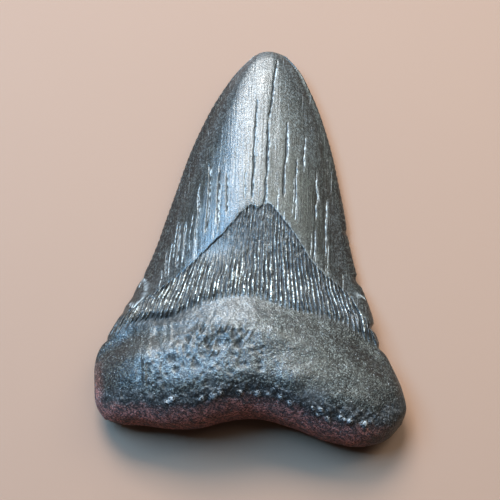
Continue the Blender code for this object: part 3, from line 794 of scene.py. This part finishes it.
def fossil_colour(n, m):
    """Near-black mineral in salt-and-pepper grains, with everything pale or red that lies on it, and
    painted shade and highlights on rims, hollows, ridges and cracks.
    """
    clouds = n.stretch(0.35, 0.65, n.noise((16, 26, 16), detail=4))
    mottle = n.stretch(0.35, 0.65, n.noise((2.6, 3.4, 2.6), detail=4, rough=0.65), 0.70, 1.30)
    speckle = n.stretch(0.60, 0.90, m.sand)
    salted = n.times(n.stretch(0.40, 1.0, m.sand, 0.25, 4.2), mottle)
    dusted = n.times(n.stretch(0.30, 1.0, m.sand, 0.35, 2.6), mottle)
    stars = n.stretch(0.68, 0.73, n.noise((0.55, 0.55, 0.55), detail=1))
    beads = n.stretch(0.38, 0.56, n.noise((1.2, 3.0, 1), detail=3, fan=True))

    crown = n.mix(n.times(m.streaks, 0.15), n.mix(clouds, *CROWN_TONES), STREAK_TONE)
    crown = n.mix(1.0, crown, dusted, "MULTIPLY")
    # A painted highlight on the band's crests, broken into beads.
    band = n.mix(n.times(m.crest, beads, 0.9), n.mix(clouds, *BAND_TONES), CREST_HIGHLIGHT_TONE)
    band = n.mix(1.0, band, salted, "MULTIPLY")
    # Painted shade in the band's valleys.
    band = n.mix(n.times(m.valley, 0.95), band, VALLEY_SHADE_TONE)
    root = n.mix(1.0, n.mix(clouds, *ROOT_TONES), salted, "MULTIPLY")
    # The rims' painted shade: near-black, with grain.
    rim = n.mix(1.0, n.mix(speckle, *RIM_SHADE_TONES), mottle, "MULTIPLY")

    colour = n.mix(m.enamel, band, crown)
    colour = n.mix(m.root, colour, root)
    colour = n.mix(n.times(m.rim, 0.9), colour, rim)
    # Painted shade along the root's broken edge.
    colour = n.mix(n.times(m.shoulder, 0.95), colour, n.mix(n.times(speckle, 0.7), *SHOULDER_SHADE_TONES))
    # The red-brown of the foot and the root's left side.
    colour = n.mix(n.times(m.stain, 0.95), colour, foot_colour(n, dusted))
    colour = n.mix(n.times(m.chalk, n.stretch(0.35, 0.65, m.sand)), colour, CHALK_TONE)
    colour = n.mix(n.times(stars, n.plus(m.root, 0.25), 0.45), colour, STAR_TONE)
    # The worn tip, a painted highlight on the root's ledge, and a pale patch.
    colour = n.mix(n.times(m.worn, mottle, 0.5), colour, n.mix(speckle, *WORN_AND_HIGHLIGHT_TONES))
    # Painted shade in pits, the crease, crack cores and under the enamel's edge.
    colour = n.mix(n.times(m.sunk, 0.85), colour, SUNK_SHADE_TONE)
    # Pale hairlines, and a painted highlight on crack rims.
    colour = n.mix(n.times(m.cracked, 0.8), colour, CRACK_PALE_AND_HIGHLIGHT_TONE)
    return n.mix(n.times(m.scar, 0.8), colour, SCAR_TONE)


def fossil_roughness(n, m):
    """Satin all over, duller in the grooves, on broken places and in dark grains."""
    satin = n.stretch(0.3, 0.7, n.noise((5, 9, 5), detail=5, rough=0.65), 0.27, 0.37)
    pepper = n.stretch(0.45, 0.15, m.sand)
    dull = n.plus(n.times(pepper, n.plus(0.05, n.times(m.root, 0.08))), n.times(m.valley, 0.35))
    matt = n.times(n.plus(m.cracked, m.stain, m.shoulder, m.chalk, m.sunk), 0.3)
    return n.math("MINIMUM", n.plus(satin, n.times(m.root, 0.03), dull, matt), 0.9)


def fossil_relief(n, m):
    """Grain, the enamel's fine lines, the band's threads, the root's dimples and the foot's streaks."""
    band = n.times(n.math("SUBTRACT", 1.0, m.root), n.math("SUBTRACT", 1.0, m.enamel))
    grain = n.noise((0.40, 0.40, 0.40), detail=1.5, rough=0.6)
    thread = n.noise((0.55, 3.2, 1), detail=2.5, rough=0.65, fan=True)
    dimple = n.noise((0.6, 0.8, 0.6), detail=3, turn=0.5)
    foot_streak = n.noise((2.4, 0.5, 1.2), detail=3, turn=0.6)
    strength = n.plus(0.62, n.times(n.plus(m.root, m.stain), 0.38))
    relief = n.bump(n.times(grain, strength), 0.16 * MM)
    relief = n.bump(n.plus(n.times(m.streaks, m.enamel), n.times(m.hair, -2.0)), 0.04 * MM, relief)
    relief = n.bump(n.times(thread, band), 0.55 * MM, relief)
    relief = n.bump(n.times(dimple, m.root), 0.08 * MM, relief)
    return n.bump(n.times(foot_streak, m.stain), 0.35 * MM, relief)


def fossil_material():
    """Dark mineral: satin enamel with pale cracks, a wrinkled band, a grained root and a red-brown foot,
    with painted shade and highlights.
    """
    material = bpy.data.materials.new("fossil")
    n = Nodes(material)
    m = fossil_patterns(n)
    n.put(n.shader.inputs["Base Color"], fossil_colour(n, m))
    n.put(n.shader.inputs["Roughness"], fossil_roughness(n, m))
    n.put(n.shader.inputs["Normal"], fossil_relief(n, m))
    n.shader.inputs["IOR"].default_value = 1.42
    return material


def floor_material():
    """Pale warm paper."""
    material = bpy.data.materials.new("pale_floor")
    n = Nodes(material)
    n.put(n.shader.inputs["Base Color"], n.mix(n.noise((60, 60, 60)), *FLOOR_TONES))
    n.shader.inputs["Roughness"].default_value = 0.8
    return material


def add_floor():
    """The pale floor that the tooth lies on."""
    mesh = bpy.data.meshes.new("floor")
    reach = FLOOR_HALF_WIDTH
    corners = [(-reach, -reach, 0), (reach, -reach, 0), (reach, reach, 0), (-reach, reach, 0)]
    mesh.from_pydata(corners, [], [(0, 1, 2, 3)])
    mesh.materials.append(floor_material())
    floor = bpy.data.objects.new("floor", mesh)
    bpy.context.scene.collection.objects.link(floor)


def aim(obj, place, target):
    """Puts a camera or light in place, facing the target, with its own Y axis along the tooth."""
    obj.location = place
    back = (Vector(place) - Vector(target)).normalized()
    side = Vector((0, 1, 0)).cross(back).normalized()
    obj.rotation_euler = Matrix((side, back.cross(side), back)).transposed().to_euler()
    bpy.context.scene.collection.objects.link(obj)


CAMERA_ELEVATION, CAMERA_DISTANCE, CAMERA_AIM = math.radians(77), 0.45, (0, -0.0017, 0.004)
LENS, SENSOR = 108, 36  # millimetres


def add_camera():
    """Looks down on the tooth from the foot's side."""
    data = bpy.data.cameras.new("camera")
    data.lens, data.sensor_width = LENS, SENSOR
    data.clip_start = 0.01
    camera = bpy.data.objects.new("camera", data)
    direction = Vector((0, -math.cos(CAMERA_ELEVATION), math.sin(CAMERA_ELEVATION)))
    aim(camera, Vector(CAMERA_AIM) + CAMERA_DISTANCE * direction, CAMERA_AIM)
    bpy.context.scene.camera = camera


# Softboxes that face the tooth: name, direction, distance, width and height, watts and colour.
LIGHTS = [
    ("key", (-0.50, 0.33, 0.79), 1.4, (0.68, 0.66), 64.0, (0.25, 0.59, 1.0)),
    ("upper", (-0.06, 0.50, 0.86), 1.4, (0.46, 0.28), 0.8, (0.60, 0.84, 1.0)),
    ("back", (-0.16, 0.70, 0.70), 1.4, (0.66, 0.43), 63.0, (0.98, 1.0, 0.99)),
    ("top", (0.44, 0.50, 0.75), 1.4, (0.86, 0.46), 16.0, (0.95, 1.0, 0.90)),
    ("fill", (0.22, 0.20, 0.95), 1.4, (0.50, 0.40), 3.0, (0.95, 1.0, 0.95)),
    ("rim", (-0.10, 0.93, 0.36), 1.4, (0.60, 0.25), 8.0, (1.0, 1.0, 0.98)),
    ("right", (0.76, 0.42, 0.50), 1.4, (0.40, 0.26), 4.2, (0.96, 1.0, 0.92)),
    ("left", (-0.85, 0.35, 0.38), 1.2, (0.50, 0.50), 1.6, (0.93, 1.0, 0.98)),
]
LIGHTS_AIM = (0, 0, 0.01)
ROOM_COLOUR, ROOM_STRENGTH = grey(1.0, 1.0, 0.90, 0.83), 0.10


def add_lights():
    """Soft light from above and behind, cool from the left, and a pale room."""
    for name, direction, distance, size, watts, colour in LIGHTS:
        data = bpy.data.lights.new(name, "AREA")
        data.shape = "RECTANGLE"
        data.size, data.size_y = size
        data.energy, data.color = watts, colour
        light = bpy.data.objects.new(name, data)
        aim(light, Vector(direction).normalized() * distance, LIGHTS_AIM)
    world = bpy.data.worlds.new("studio")
    world.use_nodes = True
    background = world.node_tree.nodes["Background"]
    background.inputs["Color"].default_value = ROOM_COLOUR
    background.inputs["Strength"].default_value = ROOM_STRENGTH
    bpy.context.scene.world = world
    bpy.context.scene.view_settings.view_transform = "Standard"


add_camera()
add_lights()
add_floor()

tooth = bpy.data.objects.new("tooth_fossil", thinned(tooth_mesh()))
tooth.data.materials.append(fossil_material())
bpy.context.scene.collection.objects.link(tooth)
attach(tooth, "root")
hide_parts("tooth")

bpy.context.view_layer.update()
